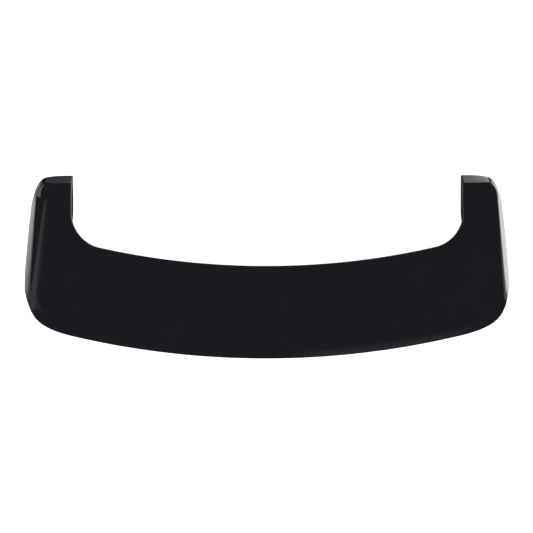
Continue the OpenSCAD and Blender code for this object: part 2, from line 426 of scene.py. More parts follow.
    def stations(self) -> Stations:
        """Sections of one half: even steps along blade, turn and arm, then the rim.

        Returns:
            The edges, the place in the turn and the inset, as whole arrays. The rim
            follows a quarter circle of radius rim_r.
        """
        n = self.pitch
        blade = np.arange(n.blade + 1) / n.blade
        turn = np.arange(1, n.turn + 1) / n.turn
        arm = np.arange(1, n.arm + 1) / n.arm
        rim = np.arange(1, n.rim + 1) / n.rim * math.pi / 2
        run_in = self.turn_in_arc + self.inner_fillet * (math.pi / 2 - self.fillet_turn)
        run_out = self.turn_out_arc + self.corner_len + self.turn_side
        tip = self.arm_reach - self.rim_r
        y_rim = tip + self.rim_r * np.sin(rim)
        y_in = np.concatenate([mix(self.fillet_centre[1], tip, arm), y_rim])
        y_out = np.concatenate([mix(self.side_y + self.turn_side, tip, arm), y_rim])
        inner = [self.lead_point((self.lead_end - self.turn_in_arc) * blade),
                 self.turn_inner(run_in * turn),
                 path(np.full_like(y_in, self.inner_half), y_in)]
        outer = [self.trail_point((self.corner_start[0] - self.turn_out_arc) * blade),
                 self.turn_outer(run_out * turn),
                 path(self.side_x(y_out), y_out)]
        return Stations(
            inner=np.concatenate(inner),
            outer=np.concatenate(outer),
            turn=np.concatenate([0 * blade, turn, np.ones_like(y_in)]),
            inset=np.concatenate([0 * blade, 0 * turn, 0 * arm,
                                  self.rim_r * (1 - np.cos(rim))]))

    def top_height(self, plan: np.ndarray) -> np.ndarray:
        """Height of the top face: a plane that rises to the rear plus a low crown."""
        rise = math.tan(math.radians(self.top_slope)) * (self.arm_reach - plan[..., 1])
        return self.nose_h + rise + self.crown * (1 - (plan[..., 0] / self.half_width) ** 2)

    def shoulder(self, d: np.ndarray) -> np.ndarray:
        """Drop at a distance from the outer edge: a parabola over the shoulder."""
        return self.shoulder_drop * (1 - clamp(d / self.shoulder_w)) ** 2

    def thickness(self, d: np.ndarray, chord: np.ndarray) -> np.ndarray:
        """Thickness of the blade at a distance from the leading edge.

        It rises as a quarter sine from the edge to the peak and then falls as a power
        of the distance towards the trailing edge.

        Args:
            d: distances from the leading edge.
            chord: length of each section.

        Returns:
            The thickness at each distance.
        """
        peak = self.peak_share * chord
        rise = clamp((d - self.lead_edge_r) / (peak - self.lead_edge_r))
        fall = clamp((d - peak) / (chord - peak))
        swell = 2 * self.lead_edge_r
        front = swell + (self.blade_t - swell) * np.sin(math.pi / 2 * rise)
        rear = self.trail_t + (self.blade_t - self.trail_t) * (1 - fall**self.thin_curve)
        return np.where(d < peak, front, rear)

    def flare_at(self, y: np.ndarray) -> np.ndarray:
        """Flare of the side wall: a quarter sine at the rear that narrows to the nose.

        Args:
            y: places along the outer edge.

        Returns:
            How far the foot of the wall stands out at each place.
        """
        grow = np.sin(math.pi / 2 * clamp((y - self.side_y + self.flare_start)
                                          / self.flare_grow))
        narrow = 1 - self.flare_narrow * clamp(y / self.arm_reach)
        fade = 1 - share(y, self.arm_reach - self.flare_fade,
                         self.arm_reach + self.flare_past)
        return self.flare * grow * narrow * fade

    def sections(self, st: Stations) -> np.ndarray:
        """Closed outline of every section, as distance from the inner edge and height.

        Each outline runs down the outer wall, across the foot, up the inner wall,
        along the underside to the leading edge and back over the top to the crease.
        Three forms are blended along the half: the thin blade, the leg under the
        corner and the solid arm.

        Args:
            st: the stations of one half.

        Returns:
            Array of stations by points by two.
        """
        n = self.pitch
        chord, along = st.chord, st.along
        leg = share(st.turn, self.leg_from, self.leg_to)[:, None]
        arm = share(st.turn, self.arm_from, 1)[:, None]
        out = self.flare_at(st.outer[:, 1])[:, None]
        reach = self.inner_half + self.leg_setback - st.inner[:, :1]
        setback = np.where(leg > 0, reach / np.where(leg > 0, along[:, :1], 1), 0)
        rest = n.foot + n.inner + n.under
        low = n.inner + n.under + n.edge
        nose_r = self.lead_edge_r
        ones = np.ones_like(chord)

        def top(d: np.ndarray) -> np.ndarray:
            """Height of the top face at a distance from the inner edge."""
            plan = st.inner[:, None, :] + along[:, None, :] * d[..., None]
            return self.top_height(plan) - self.shoulder(chord - d)

        def under(d: np.ndarray) -> np.ndarray:
            """Height of the underside of the blade."""
            return top(d) - self.thickness(d, chord)

        def pair(d: np.ndarray, z: np.ndarray) -> np.ndarray:
            """Outline points from distance and height, spread over all stations."""
            return np.stack(np.broadcast_arrays(d * ones, z * ones), axis=-1)

        def thin(step: np.ndarray) -> np.ndarray:
            """Underside of the blade, stepped from the trailing to the leading edge."""
            d = mix(chord, nose_r, step / rest)
            return pair(d, under(d))

        def solid(step: np.ndarray) -> np.ndarray:
            """Inner wall of the solid arm, from the foot to the rounded top edge."""
            q = step / low
            return pair(mix(-self.wall_draft, 0, q),
                        mix(self.pad_proud, top(0 * chord) - self.arm_edge_r, q))

        def steps(count: int) -> tuple[np.ndarray, np.ndarray]:
            """Step numbers of one stretch and their shares, as rows."""
            j = np.arange(1, count + 1)[None, :]
            return j, j / count

        legs, arms = leg[..., None], arm[..., None]
        edge = top(chord) - self.crease_r
        heel = mix(setback, 0, arm) - self.wall_draft
        hem = mix(top(chord) - self.trail_t, self.pad_proud, leg)
        _, q = steps(n.wall)
        wall = pair(chord + out * q**self.flare_curve, mix(edge, hem, q))
        j, q = steps(n.foot)
        foot = mix(thin(j) + pair(out * (1 - q), 0 * q),
                   pair(mix(chord + out, heel, q), self.pad_proud + 0 * q), legs)
        j, q = steps(n.inner)
        inside = pair(setback - self.wall_draft * (1 - q),
                      mix(self.pad_proud, under(setback), q))
        inner = mix(mix(thin(n.foot + j), inside, legs), solid(j), arms)
        j, q = steps(n.under)
        d = mix(setback, nose_r, q)
        below = mix(mix(thin(rest - n.under + j), pair(d, under(d)), legs),
                    solid(n.inner + j), arms)
        j, q = steps(n.edge)
        lift = math.pi / 2 * q
        lip = top(nose_r * ones)
        chin = mix(pair(nose_r - nose_r * np.sin(lift), lip - nose_r - nose_r * np.cos(lift)),
                   solid(n.inner + n.under + j), arms)
        k = mix(self.lead_brow_r, self.arm_edge_r, arm)
        brow = pair(k - k * np.cos(lift), top(k) - k + k * np.sin(lift))
        _, q = steps(n.top)
        d = mix(k, chord - self.crease_r, 1 - (1 - q) ** self.top_spacing)
        face = pair(d, top(d))
        _, q = steps(n.crease)
        fold = math.pi / 2 * q
        crease = pair(chord - self.crease_r + self.crease_r * np.sin(fold),
                      edge + self.crease_r * np.cos(fold))
        return np.concatenate([wall, foot, inner, below, chin, brow, face, crease], axis=1)

    def half(self) -> np.ndarray:
        """Rings of points of the right half, nose cap included, in millimetres.

        The rim of the nose insets each outline towards its middle, and the cap shrinks
        the last one to a point. Near the nose every point moves forward with its depth
        below the top, so that the end face leans out at its foot.

        Returns:
            Array of rings by points by three.
        """
        n = self.pitch
        st = self.stations()
        chord, along = st.chord, st.along
        outline = self.sections(st)
        inset = st.inset[:, None]
        d = inset + outline[..., 0] * (chord - 2 * inset) / chord
        z = mix(outline[..., 1], self.pad_proud, inset / self.nose_h)
        shrink = (1 - np.arange(1, n.cap + 1) / n.cap)[:, None]
        d = np.concatenate([d, mix(d[-1:].mean(), d[-1:], shrink)])
        z = np.concatenate([z, mix(z[-1:].mean(), z[-1:], shrink)])
        grow = np.concatenate([np.arange(len(chord)), np.full(n.cap, len(chord) - 1)])
        plan = st.inner[grow, None, :] + along[grow, None, :] * d[..., None]
        tip = share(st.outer[grow, 1:], self.arm_reach - self.nose_len, self.arm_reach)
        slope = self.nose_lean - self.nose_fade * clamp(d / chord[grow]) ** 3
        lean = tip * slope * (self.nose_h - z)
        return np.stack([plan[..., 0], plan[..., 1] + lean - self.fix_centre_y, z], axis=-1)

    def skin(self) -> Skin:
        """The whole closed moulding, its right half mirrored to the left.

        Returns:
            Its points in metres and its faces.
        """
        half = self.half() * MM
        left = half[:0:-1] * np.array([-1, 1, 1])
        rings = np.concatenate([left, half])
        return loft(rings[1:-1], rings[0, 0], rings[-1, 0])


@dataclass(frozen=True)
class Fixing:
    """Fixing holes and recesses in the feet, in millimetres.

    clear is how far below the seat plane a cutting shape starts, and round_steps is how
    many steps a circle has.
    """

    thread_r: float = 2.5
    insert_r: float = 4.5
    insert_len: float = 13.0
    collar_r: float = 6.0
    collar_t: float = 2.6
    insert_relief: float = 2.0
    insert_clear: float = 0.05
    pad_recess: float = 0.7
    washer_r: float = 12.0
    tape_w: float = 10.0
    tape_outer_len: float = 170.0
    tape_inner_len: float = 104.0
    tape_margin: float = 6.0
    tape_setback: float = 4.0
    clear: float = 3.0
    round_steps: int = 96

    def hole(self, x: float, y: float, pad_t: float) -> Skin:
        """Stepped blind hole: a profile of washer seat, collar and insert, revolved.

        Args:
            x: place of its axis across the car.
            y: place of its axis along the car.
            pad_t: depth of the washer's seat above the seat plane.

        Returns:
            The closed hole, which starts below the seat plane.
        """
        wide = self.collar_r + self.insert_clear
        slim = self.insert_r + self.insert_clear
        depth = self.insert_len + self.insert_relief
        r = np.array([self.washer_r, self.washer_r, wide, wide, slim, slim])
        z = np.array([-self.clear, pad_t, pad_t, self.collar_t, self.collar_t, depth])
        turn = np.arange(self.round_steps) / self.round_steps * 2 * math.pi
        circle = path(np.cos(turn), np.sin(turn))
        return stacked(r[:, None, None] * circle + np.array([x, y]), z)

    def strip(self, x: float, y: float, tilt: float, length: float, side: Side,
              pad_t: float) -> Skin:
        """Recess of a tape strip: a slot with round ends that runs back from x, y.

        Args:
            x: distance of its front end from the middle of the car.
            y: place of its front end.
            tilt: angle of the strip from the Y axis, in radians.
            length: length of the strip.
            side: side of the car that it is on.
            pad_t: depth of the slot above the seat plane.

        Returns:
            The closed slot, two half circles and the straight sides between them.
        """
        r = self.tape_w / 2
        half = np.arange(self.round_steps // 2 + 1) / (self.round_steps // 2) * math.pi
        front = path(r * np.cos(half), r * np.sin(half) - r)
        back = path(-r * np.cos(half), -r * np.sin(half) + r - length)
        flat = np.concatenate([front, back])
        turn = np.array([[math.cos(tilt), math.sin(tilt)], [-math.sin(tilt), math.cos(tilt)]])
        flat = (flat @ turn + np.array([x, y])) * np.array([side.value, 1])
        return stacked(np.stack([flat, flat]), np.array([-self.clear, pad_t]))

    def pockets(self, form: Moulding) -> list[Skin]:
        """Every hole and recess in the two feet.

        Args:
            form: the moulding whose feet they are in.

        Returns:
            One closed skin for each, none touching another.
        """
        pad_t = form.pad_proud + self.pad_recess
        y = form.arm_reach - self.tape_setback
        tilt = math.atan(form.side_lean / (form.arm_reach - form.side_y))
        gap = self.tape_margin + self.tape_w / 2
        start = y - form.fix_centre_y
        found = []
        for side in Side:
            for end in End:
                found.append(self.hole(side.value * form.fix_x,
                                       end.value * form.fix_span_y / 2, pad_t))
            found.append(self.strip(form.straight_x(y) - gap, start, tilt,
                                    self.tape_outer_len, side, pad_t))
            found.append(self.strip(form.inner_half + form.leg_setback + gap, start, 0.0,
                                    self.tape_inner_len, side, pad_t))
        return found


# Shader graph


class Wire:
    """A value on its way through a node tree; Python's operators add Math nodes."""

    def __init__(self, graph: Graph, socket: bpy.types.NodeSocket) -> None:
        """Wraps one output socket.

        Args:
            graph: the tree that the socket is in.
            socket: the output socket.
        """
        self.graph = graph
        self.socket = socket

    def _math(self, operation: str, *values: Value) -> Wire:
        """Adds one Math node of an operation on the given values."""
        inputs = dict(enumerate(values))
        return self.graph.out("ShaderNodeMath", {"operation": operation}, inputs)

    def __add__(self, other: Value) -> Wire:
        """Sum."""
        return self._math("ADD", self, other)

    __radd__ = __add__

    def __mul__(self, other: Value) -> Wire:
        """Product."""
        return self._math("MULTIPLY", self, other)

    __rmul__ = __mul__

    def __sub__(self, other: Value) -> Wire:
        """Difference."""
        return self._math("SUBTRACT", self, other)

    def __rsub__(self, other: Value) -> Wire:
        """Difference from a number on the left."""
        return self._math("SUBTRACT", other, self)

    def __truediv__(self, other: Value) -> Wire:
        """Quotient."""
        return self._math("DIVIDE", self, other)

    def __pow__(self, other: Value) -> Wire:
        """Power."""
        return self._math("POWER", self, other)

    def __abs__(self) -> Wire:
        """Size without its sign."""
        return self._math("ABSOLUTE", self)

    def sine(self) -> Wire:
        """Sine of the value in radians."""
        return self._math("SINE", self)

    def most(self, other: Value) -> Wire:
        """The larger of two values."""
        return self._math("MAXIMUM", self, other)

    def least(self, other: Value) -> Wire:
        """The smaller of two values."""
        return self._math("MINIMUM", self, other)

    def exponent(self) -> Wire:
        """The number e raised to the value."""
        return self._math("EXPONENT", self)

    def fraction(self) -> Wire:
        """The value less the whole number below it."""
        return self._math("FRACT", self)

    def angle(self, x: Value) -> Wire:
        """Angle of the point at x and at this value as its Y, in radians."""
        return self._math("ARCTAN2", self, x)

    def along(self, way: Point) -> Wire:
        """Dot product of a vector with a fixed one."""
        return self.graph.out("ShaderNodeVectorMath", {"operation": "DOT_PRODUCT"},
                              {0: self, 1: way}, key="Value")

    def step(self, low: float, high: float) -> Wire:
        """S-shaped step between two values, either of which may be the larger.

        Args:
            low: value at which it is 0.
            high: value at which it is 1.

        Returns:
            The step.
        """
        return self.graph.out("ShaderNodeMapRange",
                              {"interpolation_type": "SMOOTHSTEP", "clamp": True},
                              {0: self, 1: low, 2: high, 3: 0.0, 4: 1.0})


@dataclass(frozen=True)
class Speckle:
    """A smooth noise.

    Attributes:
        scale: its cells a metre.
        detail: how many finer layers it has.
        rough: strength of each layer beside the one before.
    """

    scale: float
    detail: float = 3.0
    rough: float = 0.55


class Graph:
    """Node tree of one material or of the world."""

    def __init__(self, tree: bpy.types.NodeTree) -> None:
        """Empties the tree.

        Args:
            tree: the tree to fill.
        """
        self.tree = tree
        tree.nodes.clear()

    @classmethod
    def of_material(cls, name: str) -> tuple[bpy.types.Material, Graph]:
        """Makes a material.

        Args:
            name: name of the material.

        Returns:
            The material and its empty tree.
        """
        material = bpy.data.materials.new(name)
        material.use_nodes = True
        return material, cls(material.node_tree)

    def node(self, kind: str, settings: Mapping[str, object] | None = None,
             inputs: Mapping[str | int, Value] | None = None) -> bpy.types.Node:
        """Adds a node: its settings first, then the values or links of its sockets.

        Args:
            kind: type name of the node.
            settings: its properties, such as the operation of a Math node.
            inputs: socket names or numbers with a value or a wire each.

        Returns:
            The node.
        """
        made = self.tree.nodes.new(kind)
        for key, value in (settings or {}).items():
            setattr(made, key, value)
        for key, value in (inputs or {}).items():
            self.feed(made.inputs[key], value)
        return made

    def feed(self, socket: bpy.types.NodeSocket, value: Value) -> None:
        """Gives an input its value, or links it where that is a wire.

        Args:
            socket: the input socket.
            value: a number, a colour or vector, or a wire.
        """
        if isinstance(value, Wire):
            self.tree.links.new(value.socket, socket)
        else:
            socket.default_value = value

    def out(self, kind: str, settings: Mapping[str, object] | None = None,
            inputs: Mapping[str | int, Value] | None = None, key: str | int = 0) -> Wire:
        """Adds a node and wraps one of its outputs."""
        return Wire(self, self.node(kind, settings, inputs).outputs[key])

    def place(self) -> Wire:
        """Object coordinates, which are also those of the shared frame, in metres."""
        return self.out("ShaderNodeTexCoord", key="Object")

    def split(self, vector: Wire) -> list[Wire]:
        """The X, Y and Z of a vector."""
        parts = self.node("ShaderNodeSeparateXYZ", inputs={0: vector})
        return [Wire(self, part) for part in parts.outputs]

    def facing(self) -> Wire:
        """How far the surface faces up: the Z of its normal."""
        return self.split(self.out("ShaderNodeTexCoord", key="Normal"))[2]

    def noise(self, kind: Speckle) -> Wire:
        """Smooth noise over the surface.

        Args:
            kind: its scale and layers.

        Returns:
            A value between 0 and 1.
        """
        return self.out("ShaderNodeTexNoise", {"normalize": True},
                        {"Vector": self.place(), "Scale": kind.scale, "Detail": kind.detail,
                         "Roughness": kind.rough}, key="Fac")

    def cells(self, scale: float) -> Wire:
        """Distance inside the cells of a Voronoi pattern, so many a metre."""
        return self.out("ShaderNodeTexVoronoi", {"feature": "F1"},
                        {"Vector": self.place(), "Scale": scale}, key="Distance")

    def blend(self, factor: Value, first: Value, second: Value) -> Wire:
        """Colour mixed from the first at 0 to the second at 1."""
        return self.out("ShaderNodeMix", {"data_type": "RGBA"},
                        {0: factor, 6: first, 7: second}, key=2)

    def scaled(self, colour: Tint, strength: Wire) -> Wire:
        """Colour times a strength, which may exceed 1."""
        return self.out("ShaderNodeVectorMath", {"operation": "SCALE"},
                        {0: colour, "Scale": strength})

    def added(self, colours: Sequence[Wire]) -> Wire:
        """Sum of colours.

        Args:
            colours: one colour or more.

        Returns:
            The sum.
        """
        total = colours[0]
        for colour in colours[1:]:
            total = self.out("ShaderNodeVectorMath", {"operation": "ADD"},
                             {0: total, 1: colour})
        return total

    def bump(self, height: Wire, distance: float) -> Wire:
        """Normal of a surface that a height of 1 raises by a distance."""
        return self.out("ShaderNodeBump", inputs={"Height": height, "Distance": distance,
                                                  "Strength": 1.0})

    def surface(self, **inputs: Value) -> None:
        """Ends a material in one Principled surface.

        Args:
            inputs: its sockets, with an underscore for each space in a name.
        """
        named = {key.replace("_", " "): value for key, value in inputs.items()}
        shader = self.out("ShaderNodeBsdfPrincipled", inputs=named)
        self.node("ShaderNodeOutputMaterial", inputs={"Surface": shader})


@dataclass(frozen=True)
class GlossBlack:
    """Lacquered black plastic above, bare satin plastic with a fine grain below.

    underside is how far up a surface faces where the lacquer ends and where it is bare.
    Each pair beside a noise or the grain holds the heights between which its effect fades
    in, and each rough is what that effect adds to the roughness. relief is the height of
    the grain in metres, and peel_height that of the orange peel beside it.
    """

    name: str = "gloss_black_lacquer"
    lacquer: Colour = (0.0064, 0.0068, 0.0084, 1.0)
    worn: Colour = (0.0069, 0.0073, 0.0090, 1.0)
    bare: Colour = (0.0150, 0.0150, 0.0160, 1.0)
    underside: Span = (-0.55, -0.80)
    haze: Speckle = Speckle(14.0, 4.0)
    haze_worn: Span = (0.35, 0.70)
    haze_rough: float = 0.012
    dust: Speckle = Speckle(1900.0, 1.0)
    dust_height: Span = (0.72, 0.80)
    dust_rough: float = 0.10
    mottle: Speckle = Speckle(600.0)
    grain_scale: float = 1400.0
    grain_cell: Span = (0.0, 0.75)
    grain_rough: float = 0.10
    peel: Speckle = Speckle(330.0, 2.0, 0.45)
    peel_height: float = 0.03
    relief: float = 0.00004
    gloss: float = 0.018
    satin: float = 0.42
    ior: float = 1.5

    def material(self) -> bpy.types.Material:
        """Orange peel, polish haze and dust on the lacquer; leather grain below it.

        Returns:
            The material.
        """
        material, g = Graph.of_material(self.name)
        bare = g.facing().step(*self.underside)
        haze = g.noise(self.haze)
        dust = g.noise(self.dust).step(*self.dust_height)
        grain = g.cells(self.grain_scale).step(*self.grain_cell)
        lacquer = g.blend(haze.step(*self.haze_worn), self.lacquer, self.worn)
        plastic = g.blend(g.noise(self.mottle), self.bare, self.worn)
        rough = self.gloss + self.haze_rough * haze + self.dust_rough * dust
        rough = rough + bare * (self.satin + self.grain_rough * grain - rough)
        height = (1 - bare) * g.noise(self.peel) * self.peel_height + bare * grain
        g.surface(Base_Color=g.blend(bare, lacquer, plastic), Roughness=rough, IOR=self.ior,
                  Normal=g.bump(height, self.relief))
        return material


@dataclass(frozen=True)
class TurnedBrass:
    """Machined brass of the inserts: facing rings on the mouth, a thread in the bore.

    fix_x and fix_y are the distances of an insert from the middle of the four. bore and
    rim are the shares of the two radii between which the thread and the knurl fade in.
    knurl_rise is the slant of the knurl, in radians a metre. relief is its height in
    metres, and ring_height and thread_height are heights beside it.
    """

    fix_x: float
    fix_y: float
    thread_r: float
    insert_r: float
    name: str = "turned_brass"
    bright: Colour = (0.58, 0.39, 0.13, 1.0)
    dull: Colour = (0.30, 0.19, 0.07, 1.0)
    tarnish: Speckle = Speckle(900.0, 5.0)
    tarnish_height: Span = (0.40, 0.75)
    dull_least: float = 0.25
    dull_more: float = 0.55
    polish: float = 0.24
    tarnish_rough: float = 0.18
    bore: Span = (1.10, 1.02)
    rim: Span = (0.97, 1.0)
    ring_pitch: float = 0.00022
    ring_height: float = 0.12
    thread_pitch: float = 0.001
    thread_height: float = 3.0
    teeth: int = 36
    knurl_rise: float = 2200.0
    relief: float = 0.00012

    def material(self) -> bpy.types.Material:
        """Rings by radius, a sawtooth by height in the bore and a knurl outside.

        Returns:
            The material.
        """
        material, g = Graph.of_material(self.name)
        x, y, z = g.split(g.place())
        x, y = abs(x) - self.fix_x, abs(y) - self.fix_y
        r = (x * x + y * y) ** 0.5
        turn = y.angle(x)
        rings = (r * (2 * math.pi / self.ring_pitch)).sine() * 0.5 + 0.5
        helix = z / self.thread_pitch + turn / (2 * math.pi)
        thread = abs(helix.fraction() - 0.5) * 2
        ridge, slant = turn * self.teeth, z * self.knurl_rise
        knurl = (ridge + slant).sine() * (ridge - slant).sine()
        bore = (r / self.thread_r).step(*self.bore)
        outer = (r / self.insert_r).step(*self.rim)
        tarnish = g.noise(self.tarnish).step(*self.tarnish_height)
        colour = g.blend(self.dull_least + self.dull_more * tarnish, self.bright, self.dull)
        height = rings * self.ring_height + bore * thread * self.thread_height + outer * knurl
        g.surface(Base_Color=colour, Metallic=1.0, Normal=g.bump(height, self.relief),
                  Roughness=self.polish + self.tarnish_rough * tarnish)
        return material


@dataclass(frozen=True)
class CellFoam:
    """Closed-cell foam: small open pores in a skin that varies a little in tone.

    cells is how many large pores there are along a metre, and finer how many small ones
    stand beside each. The pairs are the distances from a pore's middle, or the heights of
    the tone's noise, between which each fades in. depth is that of the pores in metres.
    """

    name: str
    light: Colour
    # dark is the painted shade inside a pore, light the colour of the skin between pores
    dark: Colour
    cells: float = 1700.0
    depth: float = 0.00025
    rough: float = 0.82
    finer: float = 2.3
    coarse_pore: Span = (0.10, 0.62)
    fine_pore: Span = (0.05, 0.60)
    fine_share: float = 0.35
    tone: Speckle = Speckle(160.0)
    tone_height: Span = (0.30, 0.70)
    tone_share: float = 0.25
    tone_gloss: float = 0.08

    def material(self) -> bpy.types.Material:
        """Pores of two sizes with painted shade inside, over a slow change of tone.

        Returns:
            The material.
        """
        material, g = Graph.of_material(self.name)
        coarse = g.cells(self.cells).step(*self.coarse_pore)
        fine = g.cells(self.cells * self.finer).step(*self.fine_pore)
        pores = (1 - self.fine_share) * coarse + self.fine_share * fine
        tone = g.noise(self.tone).step(*self.tone_height)
        # Painted shade: the pore mask darkens the colour inside each pore; the slow tone is
        # the foam's own
        bright = pores * (1 - self.tone_share) + tone * self.tone_share
        g.surface(Base_Color=g.blend(bright, self.dark, self.light),
                  Roughness=self.rough - self.tone_gloss * tone,
                  Normal=g.bump(pores, self.depth))
        return material


@dataclass(frozen=True)
class PaleFloor:
    """White studio floor: it shows white and keeps part of the object's shadow."""

    name: str = "pale_floor"
    colour: Colour = (0.90, 0.90, 0.90, 1.0)
    glow: float = 0.62

    def material(self) -> bpy.types.Material:
        """Diffuse floor, to which a glow is added for the camera alone.

        Returns:
            The material.
        """
        material, g = Graph.of_material(self.name)
        camera = g.out("ShaderNodeLightPath", key="Is Camera Ray")
        diffuse = g.out("ShaderNodeBsdfDiffuse", inputs={"Color": self.colour})
        glow = g.out("ShaderNodeEmission", inputs={"Strength": self.glow})
        both = g.out("ShaderNodeAddShader", inputs={0: diffuse, 1: glow})
        seen = g.out("ShaderNodeMixShader", inputs={0: camera, 1: diffuse, 2: both})
        g.node("ShaderNodeOutputMaterial", inputs={"Surface": seen})
        return material


# Studio


@dataclass(frozen=True)
class PhotoCamera:
    """Camera of the photograph: high above the part, a little to its left and front.

    The angles turn the part in front of the camera: alpha about Y, beta about X and rho in
    the picture, in radians. The target lies at centre_px, in pixels of the photograph, and
    the sensor's width is in millimetres.
    """

    name: str = "photo_camera"
    target: Point = (0.0, -0.101, 0.040)
    distance: float = 4.5
    alpha: float = 0.0220
    beta: float = 0.0600
    rho: float = 0.0013
    px_per_m: float = 441.30
    centre_px: tuple[float, float] = (267.80, 265.42)
    sensor: float = 36.0
    clip_end: float = 100.0

    def make(self) -> bpy.types.Object:
        """Creates the camera and makes it the scene's.

        Returns:
            The camera.
        """
        data = bpy.data.cameras.new(self.name)
        data.sensor_width = self.sensor
        data.lens = self.distance * self.px_per_m / FRAME_PX * self.sensor
        data.shift_x = 0.5 - self.centre_px[0] / FRAME_PX
        data.shift_y = self.centre_px[1] / FRAME_PX - 0.5
        data.clip_end = self.clip_end
        turn = (Matrix.Rotation(self.rho, 3, "Z") @ Matrix.Rotation(self.beta, 3, "X")
                @ Matrix.Rotation(self.alpha, 3, "Y")).transposed()
        camera = bpy.data.objects.new(self.name, data)
        camera.rotation_mode = "QUATERNION"
        camera.rotation_quaternion = turn.to_quaternion()
        camera.location = Vector(self.target) + turn @ Vector((0, 0, self.distance))
        bpy.context.scene.collection.objects.link(camera)
        bpy.context.scene.camera = camera
        return camera


@dataclass(frozen=True)
class Lamp:
    """Soft rectangular lamp that looks at the part."""

    name: str
    place: Point
    size: tuple[float, float]
    watts: float

    def make(self, target: Point) -> bpy.types.Object:
        """Creates the area lamp, which gloss doesn't mirror.

        Args:
            target: place that it faces.

        Returns:
            The lamp.
        """
        data = bpy.data.lights.new(self.name, "AREA")
        data.shape = "RECTANGLE"
        data.size, data.size_y = self.size
        data.energy = self.watts
        lamp = bpy.data.objects.new(self.name, data)
        lamp.location = self.place
        lamp.visible_glossy = False
        lamp.rotation_mode = "QUATERNION"
        lamp.rotation_quaternion = (Vector(target) - lamp.location).to_track_quat("-Z", "Y")
        bpy.context.scene.collection.objects.link(lamp)
        return lamp


@dataclass(frozen=True)
class Limit:
    """Soft limit of a patch of the mirrored room.

    Attributes:
        way: vector whose dot product with a ray's direction is the ray's measure.
        gone: measure at which the patch is gone.
        whole: measure at which it is whole, the larger or the smaller of the two.
    """

    way: Point
    gone: float
    whole: float

    def share(self, ray: Wire) -> Wire:
        """S-shaped step from 0 to 1 between the two measures."""
        return ray.along(self.way).step(self.gone, self.whole)


@dataclass(frozen=True)
class Patch:
    """Part of the mirrored room: a colour within soft limits.

    Attributes:
        tint: its radiance where it is whole.
        limits: its limits, whose shares are multiplied.
    """

    tint: Tint
    limits: tuple[Limit, ...]

    def light(self, ray: Wire, swell: Wire | float = 1.0) -> Wire:
        """Radiance of the patch in a direction.

        Args:
            ray: the direction.
            swell: what its tint is multiplied by in that direction.

        Returns:
            The tint times the swell and every limit's share.
        """
        shares = (limit.share(ray) for limit in self.limits)
        return ray.graph.scaled(self.tint, math.prod(shares, start=swell))


FRONT_WALL: tuple[Limit, ...] = (
    Limit(TO_FRONT, 0.80, 0.93), Limit(UPWARD, 0.30, 0.08), Limit(UPWARD, -0.50, -0.30),
    Limit(TO_RIGHT, 0.45, 0.33))


